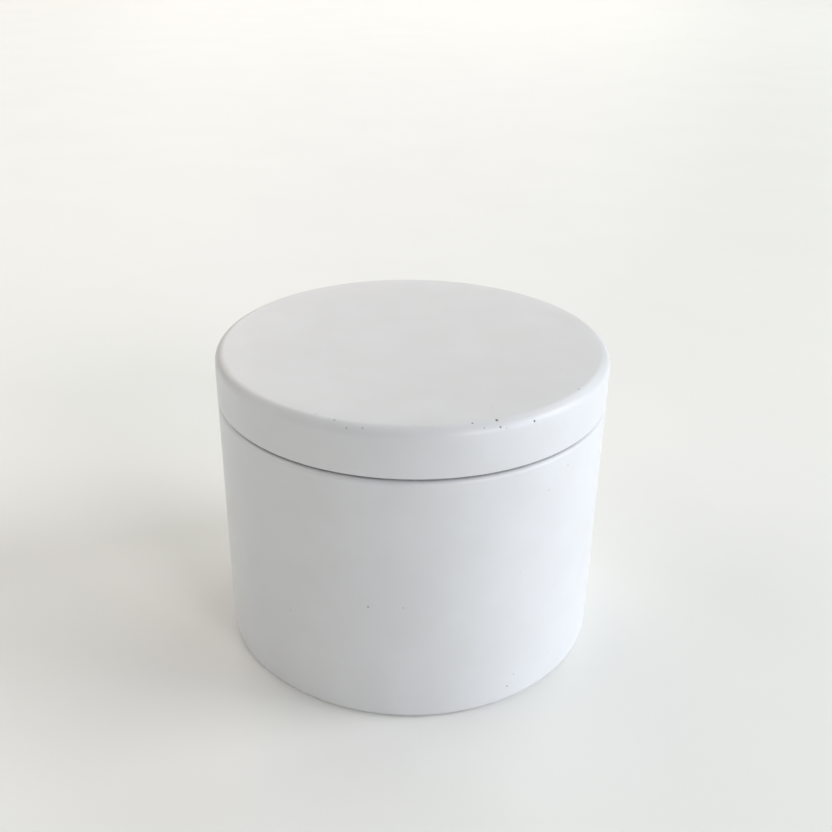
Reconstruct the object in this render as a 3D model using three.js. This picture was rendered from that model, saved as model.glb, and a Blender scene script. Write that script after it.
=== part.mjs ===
// A poured candle in a round seamless tin, with a slip-on lid that closes flush with the wall.
// Millimetres, +Z up. The origin is the centre of the base, on the surface that the tin stands on.
import * as THREE from "three";

// Driving dimensions of the tin and its lid. Bends marked "middle" are measured to the middle of
// the sheet, and the others to its outside.
const OUTER_RADIUS = 38.5; // the wall, and the lid's skirt above it
const CLOSED_HEIGHT = 61.5; // from the surface it stands on to the top of the lid
const SHEET = 0.3; // tinplate with its coating
const FOOT_WIDTH = 3; // flat ring that the tin stands on
const PANEL_RISE = 0.8; // how far the base inside that ring is pushed up
const PANEL_BEND_RADIUS = 0.8; // middle
const BASE_EDGE_RADIUS = 1.2;
const SHOULDER_BEND_RADIUS = 0.75; // middle
const RIM_CURL_RADIUS = 0.55; // middle
const LID_HEIGHT = 9.4; // from the lid's top to its lowest edge
const LID_EDGE_RADIUS = 2;
const LID_HEM_RADIUS = 0.4; // middle
const CURL_SWEEP = 270; // degrees that the rim and the hem are rolled round

// Driving dimensions of the candle.
const HEADSPACE = 14.5; // from the rim down to the wax
const WICK_RADIUS = 1.3;
const WICK_TRIM = 6; // wick that stands out of the wax
const SUSTAINER_RADIUS = 10;
const SUSTAINER_HEIGHT = 6;
const SUSTAINER_SHEET = 0.25;
const SUSTAINER_BEND_RADIUS = 0.5; // middle
const STICKER_RADIUS = 9.5;
const STICKER_THICKNESS = 1;

// Fits between the pieces.
const LID_CLEARANCE = 0.4; // from the lid's hem in to the neck, all round
const LID_GAP = 0.4; // from the lid's hem down to the shoulder, with the lid on
const SEAT_GAP = 0.3; // between pieces that rest on, or are stuck to, each other

// Facets.
const TURN_STEPS = 60;
const WICK_STEPS = 12;
const BEND_STEP = 30; // degrees of bend in one facet

// Sizes that follow from those above.
const WALL_MIDDLE = OUTER_RADIUS - SHEET / 2;
const BASE_BEND = BASE_EDGE_RADIUS - SHEET / 2;
const LID_BEND = LID_EDGE_RADIUS - SHEET / 2;
const HEM_WIDTH = 2 * LID_HEM_RADIUS + SHEET;
const NECK_MIDDLE = OUTER_RADIUS - HEM_WIDTH - LID_CLEARANCE - SHEET / 2;
const LID_LOWEST = CLOSED_HEIGHT - LID_HEIGHT;
const SHOULDER_HEIGHT = LID_LOWEST - LID_GAP;
const RIM_CURL_WIDTH = 2 * RIM_CURL_RADIUS + SHEET;
const RIM_HEIGHT = CLOSED_HEIGHT - SHEET - SEAT_GAP - cornerDrop();
const WAX_HEIGHT = RIM_HEIGHT - HEADSPACE;
const STICKER_LOWEST = PANEL_RISE + SHEET + SEAT_GAP;
const SUSTAINER_LOWEST = STICKER_LOWEST + STICKER_THICKNESS + SEAT_GAP;
const SUSTAINER_BORE = WICK_RADIUS + SEAT_GAP;

// How much lower the rim sits where the lid's rounded corner, not its flat panel, meets it first.
function cornerDrop() {
  const curlRadius = RIM_CURL_WIDTH / 2;
  const cornerRadius = LID_EDGE_RADIUS - SHEET;
  const past = NECK_MIDDLE - RIM_CURL_RADIUS - (OUTER_RADIUS - LID_EDGE_RADIUS);
  const reach = cornerRadius - curlRadius - SEAT_GAP;
  return past > 0 ? reach - Math.sqrt(reach * reach - past * past) : 0;
}

// The line that the middle of a bent sheet follows, seen in half section: x is the radius and
// y the height. Each station keeps its point and the direction to the left of the line's way.
class BendLine {
  constructor(radius, height, heading) {
    this.point = new THREE.Vector2(radius, height);
    this.heading = THREE.MathUtils.degToRad(heading);
    this.stations = [];
    this.mark();
  }

  left() {
    return new THREE.Vector2(-Math.sin(this.heading), Math.cos(this.heading));
  }

  mark() {
    this.stations.push({ point: this.point.clone(), left: this.left() });
  }

  run(length) {
    if (length > 0) {
      const way = new THREE.Vector2(Math.cos(this.heading), Math.sin(this.heading));
      this.point.addScaledVector(way, length);
      this.mark();
    }
    return this;
  }

  runToRadius(radius) {
    return this.run(Math.abs(radius - this.point.x));
  }

  runToHeight(height) {
    return this.run(Math.abs(height - this.point.y));
  }

  // A positive angle bends to the left.
  bend(radius, degrees) {
    const steps = Math.ceil(Math.abs(degrees) / BEND_STEP);
    const side = Math.sign(degrees) * radius;
    const centre = this.point.clone().addScaledVector(this.left(), side);
    for (let i = 0; i < steps; i += 1) {
      this.heading += THREE.MathUtils.degToRad(degrees / steps);
      this.point = centre.clone().addScaledVector(this.left(), -side);
      this.mark();
    }
    return this;
  }

  // Two opposite bends that step the sheet sideways by offset, to the left where turn is 1.
  joggle(radius, offset, turn) {
    const angle = joggleAngle(radius, offset);
    this.bend(radius, turn * angle);
    this.run(offset - 2 * radius);
    return this.bend(radius, -turn * angle);
  }

  offset(distance) {
    return this.stations.map(({ point, left }) => point.clone().addScaledVector(left, distance));
  }

  // The outline of a sheet of this thickness, counterclockwise.
  outline(thickness) {
    const right = this.offset(-thickness / 2);
    const left = this.offset(thickness / 2).reverse();
    return [...right, ...left];
  }
}

function joggleAngle(radius, offset) {
  const cosine = Math.max(0, 1 - offset / (2 * radius));
  return THREE.MathUtils.radToDeg(Math.acos(cosine));
}

function joggleLength(radius, offset) {
  return 2 * radius * Math.sin(THREE.MathUtils.degToRad(joggleAngle(radius, offset)));
}

// The base and the lower wall, from startRadius out to the end of the bend at the base's edge.
function baseLine(startRadius) {
  const footOuter = WALL_MIDDLE - BASE_BEND;
  const panelRadius = footOuter - FOOT_WIDTH - joggleLength(PANEL_BEND_RADIUS, PANEL_RISE);
  return new BendLine(startRadius, PANEL_RISE + SHEET / 2, 0)
    .runToRadius(panelRadius)
    .joggle(PANEL_BEND_RADIUS, PANEL_RISE, -1)
    .runToRadius(footOuter)
    .bend(BASE_BEND, 90);
}

function tinBodyOutline() {
  const step = WALL_MIDDLE - NECK_MIDDLE;
  const shoulderRise = joggleLength(SHOULDER_BEND_RADIUS, step) / 2;
  return baseLine(0)
    .runToHeight(SHOULDER_HEIGHT - SHEET / 2 - shoulderRise)
    .joggle(SHOULDER_BEND_RADIUS, step, 1)
    .runToHeight(RIM_HEIGHT - SHEET / 2 - RIM_CURL_RADIUS)
    .bend(RIM_CURL_RADIUS, CURL_SWEEP)
    .outline(SHEET);
}

function lidOutline() {
  return new BendLine(0, LID_HEIGHT - SHEET / 2, 0)
    .runToRadius(WALL_MIDDLE - LID_BEND)
    .bend(LID_BEND, -90)
    .runToHeight(SHEET / 2 + LID_HEM_RADIUS)
    .bend(LID_HEM_RADIUS, -CURL_SWEEP)
    .outline(SHEET);
}

// The wax fills the tin up to its surface, around the sustainer and the wick.
function waxOutline() {
  const pocketRadius = Math.max(SUSTAINER_RADIUS, STICKER_RADIUS) + SEAT_GAP;
  const pocketTop = SUSTAINER_LOWEST + SUSTAINER_SHEET + SEAT_GAP;
  const neckRadius = SUSTAINER_BORE + SUSTAINER_SHEET + SEAT_GAP;
  const neckTop = SUSTAINER_LOWEST + SUSTAINER_HEIGHT + SEAT_GAP;
  const wickRadius = WICK_RADIUS + SEAT_GAP;
  const against = SHEET / 2 + SEAT_GAP;
  const wallRadius = WALL_MIDDLE - against;
  const bendRoom = SUSTAINER_BEND_RADIUS + SUSTAINER_SHEET / 2;
  return [
    ...baseLine(pocketRadius).offset(against),
    new THREE.Vector2(wallRadius, WAX_HEIGHT),
    new THREE.Vector2(wickRadius, WAX_HEIGHT),
    new THREE.Vector2(wickRadius, neckTop),
    new THREE.Vector2(neckRadius, neckTop),
    new THREE.Vector2(neckRadius, pocketTop + bendRoom),
    new THREE.Vector2(neckRadius + bendRoom, pocketTop),
    new THREE.Vector2(pocketRadius, pocketTop),
  ];
}

function sustainerOutline() {
  const boreMiddle = SUSTAINER_BORE + SUSTAINER_SHEET / 2;
  return new BendLine(boreMiddle, SUSTAINER_HEIGHT, -90)
    .runToHeight(SUSTAINER_SHEET / 2 + SUSTAINER_BEND_RADIUS)
    .bend(SUSTAINER_BEND_RADIUS, 90)
    .runToRadius(SUSTAINER_RADIUS)
    .outline(SUSTAINER_SHEET);
}

function discOutline(radius, thickness) {
  return [
    new THREE.Vector2(0, 0),
    new THREE.Vector2(radius, 0),
    new THREE.Vector2(radius, thickness),
    new THREE.Vector2(0, thickness),
  ];
}

// A piece turned about +Z from its outline, standing at a height in the tin.
function turnedPiece(name, outline, height, material, steps = TURN_STEPS) {
  const onAxis = outline[0].x === 0;
  const profile = onAxis ? outline : [...outline, outline[0].clone()];
  const geometry = new THREE.LatheGeometry(profile, steps).rotateX(Math.PI / 2);
  const mesh = new THREE.Mesh(geometry, material);
  mesh.name = name;
  mesh.position.z = height;
  return mesh;
}

function material(color, roughness, metalness) {
  return new THREE.MeshStandardMaterial({ color, roughness, metalness });
}

const whiteCoat = material(0xe6e8ea, 0.5, 0);
const soyWax = material(0xf1e9d6, 0.55, 0);
const cotton = material(0xf3efe4, 0.9, 0);
const bareTinplate = material(0xc4c6c8, 0.3, 1);
const foam = material(0xf4f4f2, 0.8, 0);

function candle() {
  const wickBottom = SUSTAINER_LOWEST;
  const wickLength = WAX_HEIGHT + WICK_TRIM - wickBottom;
  const sticker = discOutline(STICKER_RADIUS, STICKER_THICKNESS);
  const group = new THREE.Group();
  group.add(turnedPiece("wax", waxOutline(), 0, soyWax));
  group.add(turnedPiece("wick", discOutline(WICK_RADIUS, wickLength), wickBottom, cotton, WICK_STEPS));
  group.add(turnedPiece("wick_sustainer", sustainerOutline(), SUSTAINER_LOWEST, bareTinplate));
  group.add(turnedPiece("wick_sticker", sticker, STICKER_LOWEST, foam));
  return group;
}

function candleTin() {
  const group = new THREE.Group();
  group.add(turnedPiece("tin_body", tinBodyOutline(), 0, whiteCoat.clone()));
  group.add(candle());
  group.add(turnedPiece("lid", lidOutline(), LID_LOWEST, whiteCoat.clone()));
  return group;
}

export default candleTin();
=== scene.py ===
"""A poured candle in a white lacquered seamless tin with a slip-on lid, standing on a pale board."""

import math
import random

import bpy
from mathutils import Matrix, Vector, noise


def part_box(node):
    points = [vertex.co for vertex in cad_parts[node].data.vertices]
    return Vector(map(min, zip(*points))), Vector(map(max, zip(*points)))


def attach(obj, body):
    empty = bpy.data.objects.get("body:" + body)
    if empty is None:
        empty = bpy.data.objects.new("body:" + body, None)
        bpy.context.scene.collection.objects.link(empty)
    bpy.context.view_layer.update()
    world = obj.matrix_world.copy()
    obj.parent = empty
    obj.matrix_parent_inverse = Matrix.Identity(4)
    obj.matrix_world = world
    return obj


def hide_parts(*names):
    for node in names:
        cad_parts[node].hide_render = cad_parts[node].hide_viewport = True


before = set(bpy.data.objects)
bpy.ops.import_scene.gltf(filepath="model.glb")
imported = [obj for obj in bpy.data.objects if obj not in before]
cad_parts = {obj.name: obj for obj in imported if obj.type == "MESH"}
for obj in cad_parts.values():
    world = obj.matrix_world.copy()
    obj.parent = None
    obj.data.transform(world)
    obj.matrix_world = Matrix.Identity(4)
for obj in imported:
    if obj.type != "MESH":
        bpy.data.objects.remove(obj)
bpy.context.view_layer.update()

MM = 0.001

# Places that come from the frame, in metres.
tin_low, tin_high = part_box("tin_body")
lid_low, lid_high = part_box("lid")
wax_low, wax_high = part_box("wax")
wick_low, wick_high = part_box("wick")
sustainer_low, sustainer_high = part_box("wick_sustainer")
sticker_low, sticker_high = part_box("wick_sticker")
OUTER_RADIUS = tin_high.x
RIM_HEIGHT = tin_high.z
LID_LOWEST = lid_low.z
LID_TOP = lid_high.z
WAX_HEIGHT = wax_high.z

# How the two shells are bent. "Middle" is measured to the middle of the sheet.
SHEET = 0.3 * MM
FOOT_WIDTH = 3 * MM
PANEL_RISE = 0.8 * MM
PANEL_BEND = 0.8 * MM  # middle
BASE_BEND = 1.05 * MM  # middle
SHOULDER_BEND = 0.75 * MM  # middle
SHOULDER_STEP = 1.5 * MM  # middle of the wall in to the middle of the neck
LID_GAP = 0.5 * MM  # lid's hem down to the shoulder
RIM_CURL = 0.55 * MM  # middle
LID_BEND = 1.85 * MM  # middle
LID_HEM = 0.3 * MM  # middle
CURL_SWEEP = 270  # degrees

TURN_STEPS = 240
BEND_STEP = 11.25  # degrees of bend in one facet
PANEL_RINGS = 14
WALL_RINGS = 10
SHARP_EDGE = math.radians(50)


def linear(colour):
    """A colour written as sRGB hex, as the linear RGBA that Blender's sockets take."""
    channels = [(colour >> shift & 255) / 255 for shift in (16, 8, 0)]
    return [c / 12.92 if c <= 0.04045 else ((c + 0.055) / 1.055) ** 2.4 for c in channels] + [1.0]


# ---------------------------------------------------------------- shapes


class BendLine:
    """The middle of a bent sheet in half section, as stations: radius, height, and the way to its left."""

    def __init__(self, radius, height, heading):
        self.radius = radius
        self.height = height
        self.heading = math.radians(heading)
        self.stations = []
        self.mark()

    def left(self):
        return Vector((-math.sin(self.heading), math.cos(self.heading)))

    def mark(self):
        self.stations.append((Vector((self.radius, self.height)), self.left()))

    def run(self, length, pieces=1):
        for _ in range(pieces if length > 1e-9 else 0):
            self.radius += math.cos(self.heading) * length / pieces
            self.height += math.sin(self.heading) * length / pieces
            self.mark()
        return self

    def run_to_radius(self, radius, pieces=1):
        return self.run(abs(radius - self.radius), pieces)

    def run_to_height(self, height, pieces=1):
        return self.run(abs(height - self.height), pieces)

    def bend(self, radius, degrees):
        steps = math.ceil(abs(degrees) / BEND_STEP)
        side = math.copysign(radius, degrees)
        centre = Vector((self.radius, self.height)) + self.left() * side
        for _ in range(steps):
            self.heading += math.radians(degrees / steps)
            self.radius, self.height = centre - self.left() * side
            self.mark()
        return self

    def joggle(self, radius, offset, turn):
        angle = joggle_angle(radius, offset)
        self.bend(radius, turn * angle)
        self.run(offset - 2 * radius)
        return self.bend(radius, -turn * angle)

    def offset(self, distance):
        return [point + left * distance for point, left in self.stations]


def joggle_angle(radius, offset):
    return math.degrees(math.acos(max(0.0, 1 - offset / (2 * radius))))


def joggle_length(radius, offset):
    return 2 * radius * math.sin(math.radians(joggle_angle(radius, offset)))


def new_piece(name, vertices, faces, materials, face_materials=None):
    mesh = bpy.data.meshes.new(name)
    mesh.from_pydata(vertices, [], faces)
    for material in materials:
        mesh.materials.append(material)
    if face_materials:
        mesh.polygons.foreach_set("material_index", face_materials)
    mesh.shade_smooth()
    mesh.set_sharp_from_angle(angle=SHARP_EDGE)
    mesh.validate()
    piece = bpy.data.objects.new(name, mesh)
    bpy.context.scene.collection.objects.link(piece)
    return piece


def turned(outline, steps=TURN_STEPS, shape=None):
    """Vertices and faces of an outline turned about +Z, and the outline's stretch that each face is from.

    The outline runs counterclockwise in half section. It closes on itself, or starts and ends on the axis.
    shape(radius, angle, height) may give a vertex another radius and height.
    """
    on_axis = outline[0][0] < 1e-9
    vertices = []
    rings = []
    for radius, height in outline:
        if radius < 1e-9:
            vertices.append((0.0, 0.0, shape(0.0, 0.0, height)[1] if shape else height))
            rings.append([len(vertices) - 1] * steps)
            continue
        ring = []
        for i in range(steps):
            angle = 2 * math.pi * i / steps
            r, z = shape(radius, angle, height) if shape else (radius, height)
            ring.append(len(vertices))
            vertices.append((r * math.cos(angle), r * math.sin(angle), z))
        rings.append(ring)
    faces = []
    stretches = []
    last = len(outline) - (1 if on_axis else 0)
    for k in range(last):
        low = rings[k]
        high = rings[(k + 1) % len(rings)]
        for i in range(steps):
            j = (i + 1) % steps
            corners = [low[i], low[j], high[j], high[i]]
            face = [c for n, c in enumerate(corners) if c != corners[n - 1]]
            if len(face) > 2:
                faces.append(face)
                stretches.append(k)
    return vertices, faces, stretches


def tube(points, radius, sides, flat=1.0):
    """Vertices and faces of a closed tube along points, whose section is flattened across by flat."""
    vertices = []
    faces = []
    for n, point in enumerate(points):
        way = (points[min(n + 1, len(points) - 1)] - points[max(n - 1, 0)]).normalized()
        out = Vector((point.x, point.y, 0))
        out = (out - way * out.dot(way)).normalized()
        across = way.cross(out)
        for i in range(sides):
            angle = 2 * math.pi * i / sides
            vertices.append(point + out * radius * flat * math.cos(angle) + across * radius * math.sin(angle))
    for n in range(len(points) - 1):
        for i in range(sides):
            a = n * sides + i
            b = n * sides + (i + 1) % sides
            faces.append([a, b, b + sides, a + sides])
    faces.append(list(range(sides))[::-1])
    faces.append([len(vertices) - sides + i for i in range(sides)])
    return vertices, faces


# ---------------------------------------------------------------- materials

# Sockets of a Mix node set to colours, which share their names with its number and vector sockets.
COLOUR_A = 6
COLOUR_B = 7
COLOUR_RESULT = 2

# Nearly all of a noise pattern's values lie between these.
NOISE_LOW = 0.3
NOISE_HIGH = 0.7
# A round spot fades out from the first share of its radius to the second.
SPOT_FULL = 0.6
SPOT_GONE = 1.3

LACQUER = 0xDADBDD
LACQUER_THIN = 0xD6D7D9
HANDLED = 0xCFCECB
CHIP = 0x4A4B50
# Painted shade: a dark band on the tin's neck at the seam under the lid's hem, in place of the shadow in the
# gap.
SEAM_SHADE_TONE = 0x646467
SEAM_SHADE = 0.86  # how much of the lacquer the painted seam shade hides
TINPLATE = 0xD2D3D3
TINPLATE_DULL = 0xC6C6C6
WAX = 0xF4ECDC
WAX_FROST = 0xF8F3E6
COTTON = 0xF1ECDF
COTTON_WAXED = 0xE2D8C0
TIN_PLATED_STEEL = 0xC8C9CB
FOAM = 0xF2F2EF
BOARD = 0xF3F3F0
BOARD_WORN = 0xF1F1EE


def add(tree, kind, inputs=None, **settings):
    """Adds a node with its settings, and gives its inputs values or links them to other nodes' outputs."""
    made = tree.nodes.new(kind)
    for name, value in settings.items():
        setattr(made, name, value)
    for name, value in (inputs or {}).items():
        if isinstance(value, bpy.types.NodeSocket):
            tree.links.new(value, made.inputs[name])
        else:
            made.inputs[name].default_value = value
    return made


def new_material(name, **sockets):
    """A material's node tree and Principled shader, whose sockets take the values given."""
    material = bpy.data.materials.new(name)
    material.use_nodes = True
    shader = material.node_tree.nodes["Principled BSDF"]
    for socket, value in sockets.items():
        shader.inputs[socket.replace("_", " ")].default_value = value
    return material, material.node_tree, shader


def per_mm(size):
    """The scale of a pattern whose features are this many millimetres across."""
    return 1000 / size


def patterned(tree, place, size, low, high, detail=3.0):
    """Noise whose features are size millimetres across, brought to run from low to high."""
    pattern = add(tree, "ShaderNodeTexNoise", {"Vector": place, "Scale": per_mm(size), "Detail": detail})
    spread = {
        "Value": pattern.outputs["Fac"],
        "From Min": NOISE_LOW,
        "From Max": NOISE_HIGH,
        "To Min": low,
        "To Max": high,
    }
    return add(tree, "ShaderNodeMapRange", spread).outputs["Result"]


def mixed(tree, share, first, second):
    """A colour that runs from first to second as share runs from 0 to 1."""
    inputs = {"Factor": share, COLOUR_A: first, COLOUR_B: second}
    return add(tree, "ShaderNodeMix", inputs, data_type="RGBA").outputs[COLOUR_RESULT]


def relief(tree, shader, layers):
    """Gives a shader a relief from layers of (height from 0 to 1, depth in millimetres)."""
    normal = None
    for height, depth in layers:
        inputs = {"Height": height, "Distance": depth * MM, "Strength": 1.0}
        if normal:
            inputs["Normal"] = normal
        normal = add(tree, "ShaderNodeBump", inputs).outputs["Normal"]
    tree.links.new(normal, shader.inputs["Normal"])


def chip_mask(tree, place, chips):
    """0 outside the chips, and each chip's darkness inside it.

    A chip is given by a point, a diameter in millimetres, and its darkness from 0 to 1.
    """
    wander = add(tree, "ShaderNodeTexNoise", {"Vector": place, "Scale": per_mm(0.4), "Detail": 2.0})
    ragged = add(
        tree,
        "ShaderNodeVectorMath",
        {0: wander.outputs["Color"], 1: (CHIP_RAGGED, CHIP_RAGGED, CHIP_RAGGED), 2: place},
        operation="MULTIPLY_ADD",
    )
    mask = None
    for point, diameter, dark in chips:
        centre = point + Vector((0.5, 0.5, 0.5)) * CHIP_RAGGED
        ends = {0: ragged.outputs["Vector"], 1: centre}
        away = add(tree, "ShaderNodeVectorMath", ends, operation="DISTANCE").outputs["Value"]
        radius = diameter * MM / 2
        fade = {"Value": away, "From Min": radius * SPOT_GONE, "From Max": radius * SPOT_FULL, "To Max": dark}
        one = add(tree, "ShaderNodeMapRange", fade).outputs["Result"]
        if mask is None:
            mask = one
        else:
            mask = add(tree, "ShaderNodeMath", {0: mask, 1: one}, operation="MAXIMUM").outputs["Value"]
    return mask


def sparse_specks(tree, place, spacing, size, share):
    """Round specks of size millimetres in a random share of cells that are spacing millimetres across."""
    cells = add(tree, "ShaderNodeTexVoronoi", {"Vector": place, "Scale": per_mm(spacing)})
    reach = size / 2 / spacing
    dot = {"Value": cells.outputs["Distance"], "From Min": reach * SPOT_GONE, "From Max": reach * SPOT_FULL}
    dot = add(tree, "ShaderNodeMapRange", dot).outputs["Result"]
    chosen = add(tree, "ShaderNodeSeparateColor", {"Color": cells.outputs["Color"]}).outputs["Red"]
    chosen = add(tree, "ShaderNodeMath", {0: chosen, 1: share}, operation="LESS_THAN").outputs["Value"]
    return add(tree, "ShaderNodeMath", {0: dot, 1: chosen}, operation="MULTIPLY").outputs["Value"]


def matt_white_lacquer(name, chips, seam=None):
    """Sprayed and stoved matt white lacquer on tinplate.

    It has a soft sheen, fine orange peel, faint handling marks, a little dust under the film, and a few chips
    on the bends where the dark steel shows. A painted shade darkens the seam, which runs from one height to
    another.
    """
    material, tree, shader = new_material(name, Roughness=0.38, IOR=1.5)
    place = add(tree, "ShaderNodeTexCoord").outputs["Object"]

    film = patterned(tree, place, 18, 0, 1)
    colour = mixed(tree, film, linear(LACQUER), linear(LACQUER_THIN))
    handled = patterned(tree, place, 7, 0, 0.25, detail=6.0)
    colour = mixed(tree, handled, colour, linear(HANDLED))
    dust = sparse_specks(tree, place, spacing=4.5, size=0.3, share=0.12)
    dust_share = add(tree, "ShaderNodeMath", {0: dust, 1: 0.35}, operation="MULTIPLY").outputs["Value"]
    colour = mixed(tree, dust_share, colour, linear(CHIP))
    chipped = chip_mask(tree, place, chips)
    colour = mixed(tree, chipped, colour, linear(CHIP))
    # Painted shade: the band at the seam is darkened towards the seam tone, in place of the shadow in the gap
    # under the lid.
    if seam:
        low, high = seam
        height = add(tree, "ShaderNodeSeparateXYZ", {"Vector": place}).outputs["Z"]
        ragged_height = {0: patterned(tree, place, 2, -0.06 * MM, 0.06 * MM), 1: height}
        height = add(tree, "ShaderNodeMath", ragged_height, operation="ADD").outputs["Value"]
        above = {"Value": height, "From Min": low, "From Max": low + 0.35 * MM}
        above = add(tree, "ShaderNodeMapRange", above).outputs["Result"]
        below = {"Value": height, "From Min": high, "From Max": high - 0.5 * MM, "To Max": SEAM_SHADE}
        below = add(tree, "ShaderNodeMapRange", below).outputs["Result"]
        seam_shade = add(tree, "ShaderNodeMath", {0: above, 1: below}, operation="MULTIPLY").outputs["Value"]
        colour = mixed(tree, seam_shade, colour, linear(SEAM_SHADE_TONE))
    tree.links.new(colour, shader.inputs["Base Color"])

    roughness = patterned(tree, place, 5, 0.35, 0.41)
    tree.links.new(roughness, shader.inputs["Roughness"])

    # Orange peel in such a film repeats about every half millimetre, and is a few thousandths deep.
    peel = {"Vector": place, "Scale": per_mm(0.5), "Detail": 1.0}
    peel = add(tree, "ShaderNodeTexNoise", peel).outputs["Fac"]
    sunk = add(tree, "ShaderNodeMath", {0: 1.0, 1: chipped}, operation="SUBTRACT").outputs["Value"]
    relief(tree, shader, [(peel, 0.004), (dust, 0.02), (sunk, 0.04)])
    return material


def lacquered_tinplate():
    """Bright drawn tinplate under clear lacquer: a satin metal with fine lines along the way it was drawn."""
    material, tree, shader = new_material("lacquered_tinplate", Metallic=1.0, Roughness=0.32, Coat_Weight=0.3)
    place = add(tree, "ShaderNodeTexCoord").outputs["Object"]
    # The die leaves lines about 0.15 mm apart that run down the wall, so the pattern is drawn out along Z.
    drawn = add(tree, "ShaderNodeMapping", {"Vector": place, "Scale": (1.0, 1.0, 0.02)}).outputs["Vector"]
    lines = patterned(tree, drawn, 0.15, 0, 1, detail=2.0)
    cloud = patterned(tree, place, 12, 0, 1)
    colour = mixed(tree, cloud, linear(TINPLATE), linear(TINPLATE_DULL))
    tree.links.new(colour, shader.inputs["Base Color"])
    tree.links.new(patterned(tree, drawn, 0.4, 0.28, 0.38), shader.inputs["Roughness"])
    relief(tree, shader, [(lines, 0.0015)])
    return material


def soy_wax():
    """Poured soy wax: creamy, a little translucent, with the pale frosting that it grows as it sets."""
    material, tree, shader = new_material("soy_wax", Roughness=0.5, IOR=1.44)
    shader.inputs["Subsurface Weight"].default_value = 0.5
    shader.inputs["Subsurface Radius"].default_value = (1.0, 0.8, 0.5)
    shader.inputs["Subsurface Scale"].default_value = 2.5 * MM
    place = add(tree, "ShaderNodeTexCoord").outputs["Object"]
    frost = patterned(tree, place, 9, 0, 1, detail=6.0)
    tree.links.new(mixed(tree, frost, linear(WAX), linear(WAX_FROST)), shader.inputs["Base Color"])
    tree.links.new(patterned(tree, place, 5, 0.42, 0.62, detail=6.0), shader.inputs["Roughness"])
    grain = patterned(tree, place, 0.6, 0, 1, detail=4.0)
    relief(tree, shader, [(grain, 0.005), (frost, 0.012)])
    return material


def braided_cotton():
    """Braided cotton wick, primed with wax: matt yarn with fine fibres, darker where it has drawn wax up."""
    material, tree, shader = new_material("braided_cotton", Roughness=0.85, IOR=1.47, Sheen_Weight=0.3)
    place = add(tree, "ShaderNodeTexCoord").outputs["Object"]
    height = add(tree, "ShaderNodeSeparateXYZ", {"Vector": place}).outputs["Z"]
    soaked = {"Value": height, "From Min": WAX_HEIGHT + 3 * MM, "From Max": WAX_HEIGHT + 0.5 * MM}
    soaked = add(tree, "ShaderNodeMapRange", soaked).outputs["Result"]
    fibres = patterned(tree, place, 0.12, 0, 1, detail=2.0)
    colour = mixed(tree, soaked, linear(COTTON), linear(COTTON_WAXED))
    shade = add(tree, "ShaderNodeMath", {0: fibres, 1: 0.4}, operation="MULTIPLY").outputs["Value"]
    colour = mixed(tree, shade, colour, linear(COTTON_WAXED))
    tree.links.new(colour, shader.inputs["Base Color"])
    relief(tree, shader, [(fibres, 0.02)])
    return material


def stamped_tin_plated_steel():
    """Stamped tin-plated steel: a bright metal with the fine rolled grain of the strip, running along X."""
    material, tree, shader = new_material("stamped_tin_plated_steel", Metallic=1.0, Roughness=0.3)
    place = add(tree, "ShaderNodeTexCoord").outputs["Object"]
    rolled = add(tree, "ShaderNodeMapping", {"Vector": place, "Scale": (0.05, 1.0, 1.0)}).outputs["Vector"]
    grain = patterned(tree, rolled, 0.1, 0, 1)
    colour = mixed(tree, grain, linear(TIN_PLATED_STEEL), linear(TINPLATE_DULL))
    tree.links.new(colour, shader.inputs["Base Color"])
    tree.links.new(patterned(tree, rolled, 0.3, 0.24, 0.38), shader.inputs["Roughness"])
    relief(tree, shader, [(grain, 0.001)])
    return material


def adhesive_foam():
    """Closed-cell foam tape: matt and off-white, with cells about 0.2 mm across."""
    material, tree, shader = new_material("adhesive_foam", Roughness=0.8, IOR=1.45)
    place = add(tree, "ShaderNodeTexCoord").outputs["Object"]
    cells = add(tree, "ShaderNodeTexVoronoi", {"Vector": place, "Scale": per_mm(0.2)}).outputs["Distance"]
    colour = mixed(tree, cells, linear(FOAM), linear(BOARD_WORN))
    tree.links.new(colour, shader.inputs["Base Color"])
    relief(tree, shader, [(cells, 0.02)])
    return material


def painted_board():
    """Satin-painted board for the floor: nearly white, with a faint unevenness."""
    material, tree, shader = new_material("painted_board", Roughness=0.5)
    place = add(tree, "ShaderNodeTexCoord").outputs["Object"]
    colour = mixed(tree, patterned(tree, place, 60, 0, 1), linear(BOARD), linear(BOARD_WORN))
    tree.links.new(colour, shader.inputs["Base Color"])
    return material


# ---------------------------------------------------------------- pieces

WALL_RADIUS = OUTER_RADIUS - SHEET / 2  # middle

CHIP_RAGGED = 0.12 * MM
# Chips on the lid's bend: degrees round from the front, degrees up the bend, diameter in millimetres, and how
# dark each is.
LID_CHIPS = [
    (22.7, 75, 0.5, 1.0),
    (23.0, 34, 0.4, 0.75),
    (33.0, 25, 0.4, 1.0),
    (16.0, 79, 0.4, 0.7),
    (24.6, 23, 0.25, 0.4),
    (18.7, 43, 0.3, 0.35),
    (54.1, 85, 0.4, 0.6),
    (-20.0, 72, 0.5, 0.3),
    (-16.2, 40, 0.35, 0.4),
    (-12.1, 50, 0.4, 0.35),
    (-25.8, 90, 0.25, 0.5),
    (127, 34, 0.4, 0.8),
    (171, 18, 0.3, 0.5),
    (214, 41, 0.35, 0.8),
    (288, 33, 0.3, 0.5),
]
# Small nicks in the wall: degrees round from the front, height and diameter in millimetres, and how dark.
WALL_CHIPS = [
    (47.1, 48.6, 0.35, 0.35),
    (39.9, 45.35, 0.35, 0.3),
    (31.6, 29.7, 0.25, 0.3),
    (29.7, 3.7, 0.4, 0.5),
    (31.8, 6.1, 0.4, 0.3),
    (-1.5, 25.8, 0.3, 0.35),
    (-10.9, 25.4, 0.45, 0.45),
    (140, 12.0, 0.35, 0.5),
    (205, 33.0, 0.3, 0.4),
    (262, 8.0, 0.4, 0.5),
]


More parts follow.
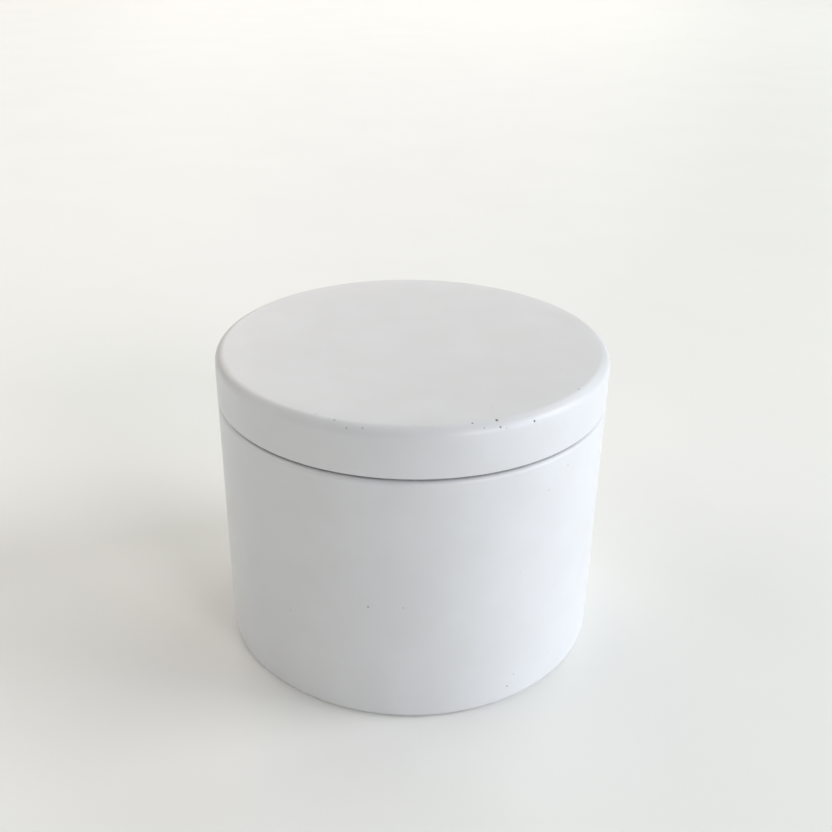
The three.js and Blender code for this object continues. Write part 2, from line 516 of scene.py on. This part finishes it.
def from_front(degrees, radius, height):
    """A point by its angle round from the front, which faces -Y, towards +X."""
    angle = math.radians(degrees)
    return Vector((radius * math.sin(angle), -radius * math.cos(angle), height))


def lid_chips():
    bend = LID_BEND + SHEET / 2
    for around, up, diameter, dark in LID_CHIPS:
        radius = OUTER_RADIUS - bend + bend * math.cos(math.radians(up))
        height = LID_TOP - bend + bend * math.sin(math.radians(up))
        yield from_front(around, radius, height), diameter, dark


def wall_chips():
    for around, height, diameter, dark in WALL_CHIPS:
        yield from_front(around, OUTER_RADIUS, height * MM), diameter, dark


def sheet_piece(name, line, coat, inside, coat_right, body, node):
    """A shell bent from sheet along a line, with its coat on the line's right or on its left."""
    right = line.offset(-SHEET / 2)
    left = line.offset(SHEET / 2)[::-1]
    vertices, faces, stretches = turned(right + left)
    materials = [coat, inside]
    face_materials = [0 if (k < len(right)) == coat_right else 1 for k in stretches]
    piece = new_piece(name, vertices, faces, materials, face_materials)
    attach(piece, body)
    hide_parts(node)
    return piece


def tin_shell(coat, inside):
    foot_outer = WALL_RADIUS - BASE_BEND
    panel_radius = foot_outer - FOOT_WIDTH - joggle_length(PANEL_BEND, PANEL_RISE)
    shoulder_middle = LID_LOWEST - LID_GAP - SHEET / 2
    line = (
        BendLine(0.0, PANEL_RISE + SHEET / 2, 0)
        .run_to_radius(panel_radius, PANEL_RINGS)
        .joggle(PANEL_BEND, PANEL_RISE, -1)
        .run_to_radius(foot_outer)
        .bend(BASE_BEND, 90)
        .run_to_height(shoulder_middle - joggle_length(SHOULDER_BEND, SHOULDER_STEP) / 2, WALL_RINGS)
        .joggle(SHOULDER_BEND, SHOULDER_STEP, 1)
        .run_to_height(RIM_HEIGHT - SHEET / 2 - RIM_CURL)
        .bend(RIM_CURL, CURL_SWEEP)
    )
    return sheet_piece("tin_shell", line, coat, inside, True, "tin", "tin_body")


def lid_shell(coat, inside):
    line = (
        BendLine(0.0, LID_TOP - SHEET / 2, 0)
        .run_to_radius(WALL_RADIUS - LID_BEND, PANEL_RINGS)
        .bend(LID_BEND, -90)
        .run_to_height(LID_LOWEST + SHEET / 2 + LID_HEM, WALL_RINGS // 2)
        .bend(LID_HEM, -CURL_SWEEP)
    )
    return sheet_piece("lid_shell", line, coat, inside, False, "lid", "lid")


WAX_CLIMB = 0.9 * MM  # at the wall
WAX_CLIMB_REACH = 1.1 * MM
WAX_COLLAR = 0.5 * MM  # round the wick
WAX_COLLAR_REACH = 0.9 * MM
WAX_DISH = 0.35 * MM  # sunk in the middle as it cooled
WAX_DISH_REACH = 11 * MM


def wax_surface(radius, angle):
    """How far the poured wax stands above or below its level at a place on its surface."""
    wall = OUTER_RADIUS - SHEET
    climb = WAX_CLIMB * math.exp(-(wall - radius) / WAX_CLIMB_REACH)
    collar = WAX_COLLAR * math.exp(-(radius - wick_high.x) / WAX_COLLAR_REACH)
    dish = -WAX_DISH * math.exp(-((radius / WAX_DISH_REACH) ** 2))
    place = Vector((radius * math.cos(angle), radius * math.sin(angle), 0.0))
    waves = 0.12 * MM * noise.noise(place * per_mm(14)) + 0.03 * MM * noise.noise(place * per_mm(4))
    return climb + collar + dish + waves


def wax_fill(material):
    """The poured wax. It wets the wall and the wick, and sinks a little between them as it cools."""
    wall = OUTER_RADIUS - SHEET - 0.02 * MM
    bore = wick_high.x - 0.35 * MM
    neck = wick_high.x + 0.6 * MM
    pocket = sustainer_high.x + 0.3 * MM
    level = WAX_HEIGHT
    top = []
    steps = 40
    for n in range(steps + 1):
        share = n / steps
        eased = (1 - math.cos(math.pi * share)) / 2
        top.append((wall + (bore - wall) * eased, level))
    outline = [
        (pocket, wax_low.z + 0.8 * MM),
        (wall - 6.5 * MM, wax_low.z + 0.8 * MM),
        (wall - 5 * MM, wax_low.z),
        (wall - 1.5 * MM, wax_low.z),
        (wall - 0.4 * MM, wax_low.z + 0.4 * MM),
        (wall, wax_low.z + 1.5 * MM),
        *[(wall, wax_low.z + (level - wax_low.z) * n / 8) for n in range(1, 8)],
        *top,
        (bore, sustainer_high.z + 0.3 * MM),
        (neck, sustainer_high.z + 0.3 * MM),
        (neck, sustainer_low.z + 0.6 * MM),
        (pocket, sustainer_low.z + 0.6 * MM),
    ]

    def shape(radius, angle, height):
        return radius, height + (wax_surface(radius, angle) if height == level else 0.0)

    vertices, faces, _ = turned(outline, steps=180, shape=shape)
    piece = new_piece("wax_fill", vertices, faces, [material])
    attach(piece, "tin")
    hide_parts("wax")
    return piece


STRANDS = 4  # that turn each way
STRAND_RADIUS = 0.36 * MM
BRAID_PITCH = 9 * MM
BRAID_DEPTH = 0.14 * MM
STRAND_STEP = 0.3 * MM
FIBRES = 26


def strand_points(way, start):
    """The points of a strand that turns one way, and passes over and under those that turn the other."""
    length = wick_high.z - wick_low.z
    middle = wick_high.x - STRAND_RADIUS * 0.8 - BRAID_DEPTH
    points = []
    for n in range(round(length / STRAND_STEP) + 1):
        along = min(n * STRAND_STEP, length)
        turn = 2 * math.pi * along / BRAID_PITCH
        radius = middle + way * BRAID_DEPTH * math.cos(STRANDS * turn)
        angle = way * turn + start
        points.append(Vector((radius * math.cos(angle), radius * math.sin(angle), wick_low.z + along)))
    return points


def wick_braid(material):
    """Eight strands braided round a core, cut square, with loose fibres at the cut."""
    draw = random.Random(4)
    parts = []
    for i in range(STRANDS):
        for way in (1, -1):
            parts.append(tube(strand_points(way, 2 * math.pi * i / STRANDS), STRAND_RADIUS, 10, flat=0.8))
    core = [Vector((0, 0, wick_low.z + (wick_high.z - wick_low.z) * n / 20)) for n in range(21)]
    parts.append(tube([p + Vector((1e-6, 0, 0)) for p in core], wick_high.x * 0.6, 16))
    for _ in range(FIBRES):
        angle = draw.uniform(0, 2 * math.pi)
        radius = wick_high.x * draw.uniform(0.3, 0.95)
        root = Vector((radius * math.cos(angle), radius * math.sin(angle), wick_high.z - 0.5 * MM))
        lean = Vector((math.cos(angle), math.sin(angle), 0)) * draw.uniform(0.1, 0.9)
        reach = draw.uniform(0.7, 1.5) * MM
        curl = draw.uniform(-0.6, 0.6)
        points = []
        for n in range(6):
            share = n / 5
            bent = Matrix.Rotation(curl * share, 3, "Z") @ lean
            points.append(root + (bent * share + Vector((0, 0, 1))) * reach * share)
        parts.append(tube(points, 0.025 * MM, 5))
    vertices = []
    faces = []
    for part_vertices, part_faces in parts:
        first = len(vertices)
        vertices += part_vertices
        faces += [[first + c for c in face] for face in part_faces]
    piece = new_piece("wick_braid", vertices, faces, [material])
    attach(piece, "tin")
    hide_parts("wick")
    return piece


SUSTAINER_SHEET = 0.25 * MM
SUSTAINER_BEND = 0.5 * MM  # middle
CRIMP_BELOW_TOP = 1.6 * MM
CRIMP_REACH = 0.9 * MM
CRIMP_DEPTH = 0.18 * MM
CRIMP_SIDES = 4


def sustainer_stamping(material):
    """The disc with its drawn neck, which is crimped onto the wick from four sides near its top."""
    sheet = SUSTAINER_SHEET
    bore = wick_high.x + 0.05 * MM
    line = (
        BendLine(bore + sheet / 2, sustainer_high.z, -90)
        .run_to_height(sustainer_low.z + sheet / 2 + SUSTAINER_BEND, 12)
        .bend(SUSTAINER_BEND, 90)
        .run_to_radius(sustainer_high.x - 1.2 * MM, 4)
        .run_to_radius(sustainer_high.x)
    )
    crimp_height = sustainer_high.z - CRIMP_BELOW_TOP

    def shape(radius, angle, height):
        pinch = math.exp(-(((height - crimp_height) / CRIMP_REACH) ** 2)) * (radius < 2 * bore)
        return radius - CRIMP_DEPTH * pinch * max(0.0, math.cos(CRIMP_SIDES * angle)), height

    outline = line.offset(-sheet / 2) + line.offset(sheet / 2)[::-1]
    vertices, faces, _ = turned(outline, steps=96, shape=shape)
    piece = new_piece("sustainer_stamping", vertices, faces, [material])
    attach(piece, "tin")
    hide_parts("wick_sustainer")
    return piece


def sticker_disc(material):
    """The die-cut foam disc, whose edge bulges a little where the sustainer presses it."""
    radius = sticker_high.x
    middle = (sticker_low.z + sticker_high.z) / 2
    half = (sticker_high.z - sticker_low.z) / 2
    bulge = 0.25 * MM
    edge = []
    for n in range(9):
        angle = math.pi * (n / 8 - 0.5)
        edge.append((radius - bulge + bulge * math.cos(angle), middle + half * math.sin(angle)))
    inner = radius * 0.6
    bottom = [(0.0, sticker_low.z), (inner, sticker_low.z)]
    top = [(inner, sticker_high.z), (0.0, sticker_high.z)]
    outline = [*bottom, *edge, *top]
    vertices, faces, _ = turned(outline, steps=96)
    piece = new_piece("sticker_disc", vertices, faces, [material])
    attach(piece, "tin")
    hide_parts("wick_sticker")
    return piece


# ---------------------------------------------------------------- set

FLOOR_HALF = 12.0
CAMERA_PLACE = (0.83 * MM, -185.2 * MM, 137.4 * MM)
CAMERA_DOWN = 26.53  # degrees
CAMERA_TURN = 0.0  # degrees towards +X
CAMERA_ROLL = 0.8  # degrees
LENS = 43.87  # millimetres, on a 36 mm sensor


def floor(material):
    h = FLOOR_HALF
    corners = [(-h, -h, 0.0), (h, -h, 0.0), (h, h, 0.0), (-h, h, 0.0)]
    piece = new_piece("floor", corners, [[0, 1, 2, 3]], [material])


def camera():
    data = bpy.data.cameras.new("camera")
    data.lens = LENS
    data.clip_start = 0.01
    data.clip_end = 50.0
    made = bpy.data.objects.new("camera", data)
    down = math.radians(CAMERA_DOWN)
    turn = math.radians(CAMERA_TURN)
    ahead = Vector((math.sin(turn) * math.cos(down), math.cos(turn) * math.cos(down), -math.sin(down)))
    level = ahead.cross(Vector((0, 0, 1))).normalized()
    roll = Matrix.Rotation(-math.radians(CAMERA_ROLL), 3, ahead)
    right = roll @ level
    up = right.cross(ahead)
    made.matrix_world = Matrix.Translation(CAMERA_PLACE) @ Matrix((right, up, -ahead)).transposed().to_4x4()
    bpy.context.scene.collection.objects.link(made)
    bpy.context.scene.camera = made


# Soft lights far off: name, degrees round from +X towards +Y, degrees up, degrees wide, strength, colour.
# Those named window are parts of one tall window to the right, which is cooler than the room.
FAR_LIGHTS = [
    ("window_near", -50, 20, 20, 0.93, 0xFFF8FA),
    ("window_middle", -20, 12, 30, 1.07, 0xD8F0FF),
    ("window_low", 10, 8, 20, 0.4, 0xCCD2FF),
    ("window_top", 0, 30, 30, 1.35, 0xFFFFFF),
    ("left_wall", 180, 30, 60, 1.14, 0xFFFEFB),
    ("back_low", 90, 12, 30, 0.31, 0xFFF4F1),
]
# Soft boxes behind the tin: name, degrees round, degrees up, distance and width in metres, watts, colour.
SOFT_BOXES = [
    ("back_left", 120, 30, 4.0, 2.4, 36.5, 0xFFF5E9),
    ("back_right", 50, 40, 2.5, 1.6, 17.1, 0xF8FFFA),
]
ROOM = 0xE9E9E6  # the pale room as it is seen past the floor
ROOM_LIGHT = 0.12  # how much of that light reaches the tin
LIT_POINT = Vector((0.0, 0.0, 30 * MM))
FAR = 10.0


def new_light(name, kind, around, up, distance, energy, colour):
    """A light that points at the tin from a direction."""
    data = bpy.data.lights.new(name, kind)
    data.energy = energy
    data.color = linear(colour)[:3]
    made = bpy.data.objects.new(name, data)
    around = math.radians(around)
    up = math.radians(up)
    level = math.cos(up)
    way = Vector((math.cos(around) * level, math.sin(around) * level, math.sin(up)))
    made.location = way * distance
    made.rotation_euler = (LIT_POINT - way * distance).to_track_quat("-Z", "Y").to_euler()
    bpy.context.scene.collection.objects.link(made)
    return data


def lights():
    for name, around, up, wide, strength, colour in FAR_LIGHTS:
        new_light(name, "SUN", around, up, FAR, strength, colour).angle = math.radians(wide)
    for name, around, up, distance, width, watts, colour in SOFT_BOXES:
        new_light(name, "AREA", around, up, distance, watts, colour).size = width
    world = bpy.data.worlds.new("room")
    world.use_nodes = True
    tree = world.node_tree
    lighting = tree.nodes["Background"]
    lighting.inputs["Color"].default_value = linear(ROOM)
    lighting.inputs["Strength"].default_value = ROOM_LIGHT
    seen = add(tree, "ShaderNodeBackground", {"Color": linear(ROOM)})
    ray = add(tree, "ShaderNodeLightPath")
    direct = ray.outputs["Is Camera Ray"]
    either = {0: direct, 1: lighting.outputs["Background"], 2: seen.outputs["Background"]}
    surface = add(tree, "ShaderNodeMixShader", either).outputs["Shader"]
    tree.links.new(surface, tree.nodes["World Output"].inputs["Surface"])
    bpy.context.scene.world = world
    bpy.context.scene.view_settings.view_transform = "Standard"


def candle_tin():
    inside = lacquered_tinplate()
    # The heights of the painted shade band at the seam.
    seam = (LID_LOWEST - LID_GAP - 0.05 * MM, LID_LOWEST + 0.3 * MM)
    tin_shell(matt_white_lacquer("tin_matt_white_lacquer", list(wall_chips()), seam), inside)
    lid_shell(matt_white_lacquer("lid_matt_white_lacquer", list(lid_chips())), inside)
    wax_fill(soy_wax())
    wick_braid(braided_cotton())
    sustainer_stamping(stamped_tin_plated_steel())
    sticker_disc(adhesive_foam())


candle_tin()
floor(painted_board())
camera()
lights()
